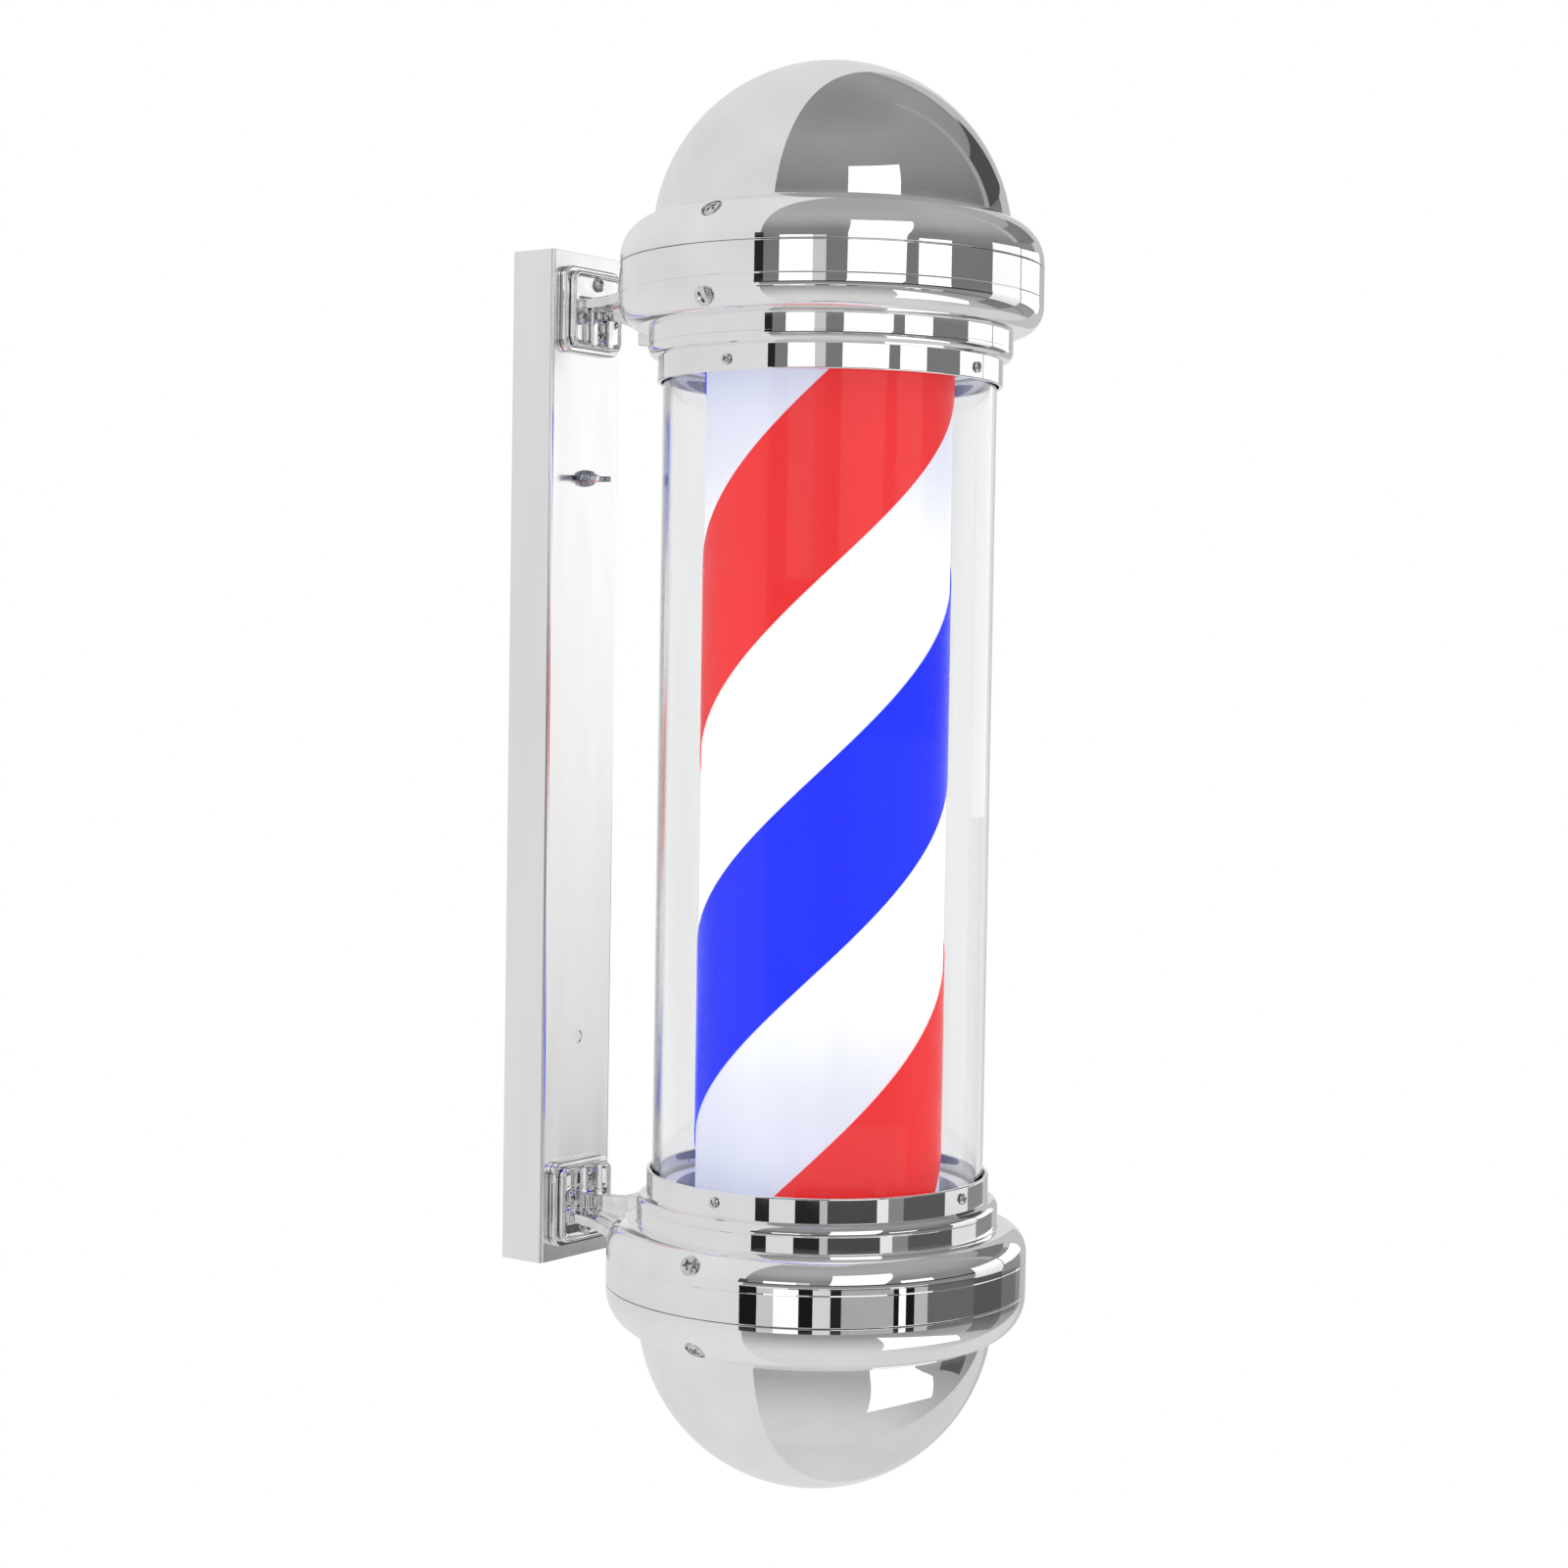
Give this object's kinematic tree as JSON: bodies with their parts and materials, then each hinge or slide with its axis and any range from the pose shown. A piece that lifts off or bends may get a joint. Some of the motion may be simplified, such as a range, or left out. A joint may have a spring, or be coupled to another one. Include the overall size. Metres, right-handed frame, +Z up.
{
  "type": "barber pole light",
  "caption": "Wall-mounted barber pole light: lit striped drum turning in a clear tube between chromed domed caps, held by cast arms on a wall channel.",
  "frame": {"origin": "middle of the wall strap's back face; the pole's own middle is 5.4 mm lower", "axes": "+Z up along the pole, +Y into the wall, -Y is the front, +X to the right as seen from the front"},
  "size_m": [0.2108, 0.2815, 0.6898],
  "materials": {
    "chromed_shell": "mirror",
    "cast_chrome": "polished casting",
    "polished_channel": "polished sheet",
    "screw_steel": "bright plated",
    "zinc_plate": "zinc plated",
    "clear_acrylic": "clear polished",
    "drum_white": "satin, lit from inside",
    "film_red": "printed film, lit from inside",
    "film_blue": "printed film, lit from inside",
    "soft_pvc": "matt",
    "pale_plastic": "moulded",
    "dark_plastic": "moulded",
    "nylon": "natural",
    "copper_wire": "enamelled wire",
    "led_board": "white solder mask"
  },
  "bodies": {
    "frame": {"upper_ring": "chromed_shell", "upper_dome": "chromed_shell", "upper_arm": "cast_chrome", "upper_pad": "cast_chrome", "upper_carrier": "pale_plastic", "upper_gasket": "soft_pvc", "upper_arm_bolt": "screw_steel", "upper_foot_screw_1": "screw_steel", "upper_foot_screw_2": "screw_steel", "upper_foot_screw_3": "screw_steel", "upper_foot_screw_4": "screw_steel", "upper_shoulder_screw_1": "screw_steel", "upper_shoulder_screw_2": "screw_steel", "upper_dome_screw_1": "screw_steel", "upper_dome_screw_2": "screw_steel", "upper_collar_screw_1": "screw_steel", "upper_collar_screw_2": "screw_steel", "upper_collar_screw_3": "screw_steel", "upper_collar_screw_4": "screw_steel", "lower_ring": "chromed_shell", "lower_dome": "chromed_shell", "lower_arm": "cast_chrome", "lower_pad": "cast_chrome", "lower_carrier": "pale_plastic", "lower_gasket": "soft_pvc", "lower_arm_bolt": "screw_steel", "lower_foot_screw_1": "screw_steel", "lower_foot_screw_2": "screw_steel", "lower_foot_screw_3": "screw_steel", "lower_foot_screw_4": "screw_steel", "lower_shoulder_screw_1": "screw_steel", "lower_shoulder_screw_2": "screw_steel", "lower_dome_screw_1": "screw_steel", "lower_dome_screw_2": "screw_steel", "lower_collar_screw_1": "screw_steel", "lower_collar_screw_2": "screw_steel", "lower_collar_screw_3": "screw_steel", "lower_collar_screw_4": "screw_steel", "clear_tube": "clear_acrylic", "terminal_block": "dark_plastic", "post_bush": "nylon", "motor_case": "zinc_plate", "motor_lid": "zinc_plate", "led_post": "zinc_plate", "wall_strap": "zinc_plate", "motor_coil": "copper_wire", "led_strip_left": "led_board", "led_strip_right": "led_board", "led_driver": "pale_plastic", "wall_channel": "polished_channel", "stud": "screw_steel"},
    "drum": {"drum_sheet": "drum_white", "stripe_red": "film_red", "stripe_blue": "film_blue", "drum_top_disc": "dark_plastic", "drum_bottom_disc": "dark_plastic", "output_gear": "nylon"},
    "countershaft": {"countershaft_gear": "nylon"},
    "rotor": {"motor_rotor": "dark_plastic"},
    "wing_nut": {"wing_nut": "screw_steel"}
  },
  "joints": [
    {"name": "drum_spin", "type": "hinge", "parent": "frame", "child": "drum", "pos_m": [0, -0.179, -0.0054], "axis": [0, 0, 1], "continuous": true},
    {"name": "countershaft_spin", "type": "hinge", "parent": "frame", "child": "countershaft", "pos_m": [0.0168, -0.179, 0.2146], "axis": [0, 0, 1], "continuous": true},
    {"name": "rotor_spin", "type": "hinge", "parent": "frame", "child": "rotor", "pos_m": [0, -0.179, 0.2261], "axis": [0, 0, 1], "continuous": true},
    {"name": "wing_nut_turn", "type": "hinge", "parent": "frame", "child": "wing_nut", "pos_m": [0, -0.0303, 0.1443], "axis": [0, -1, 0], "continuous": true}
  ],
  "couplings": [
    {"joint": "countershaft_spin", "follows": "drum_spin", "ratio": -2.5},
    {"joint": "rotor_spin", "follows": "drum_spin", "ratio": 6.25}
  ]
}
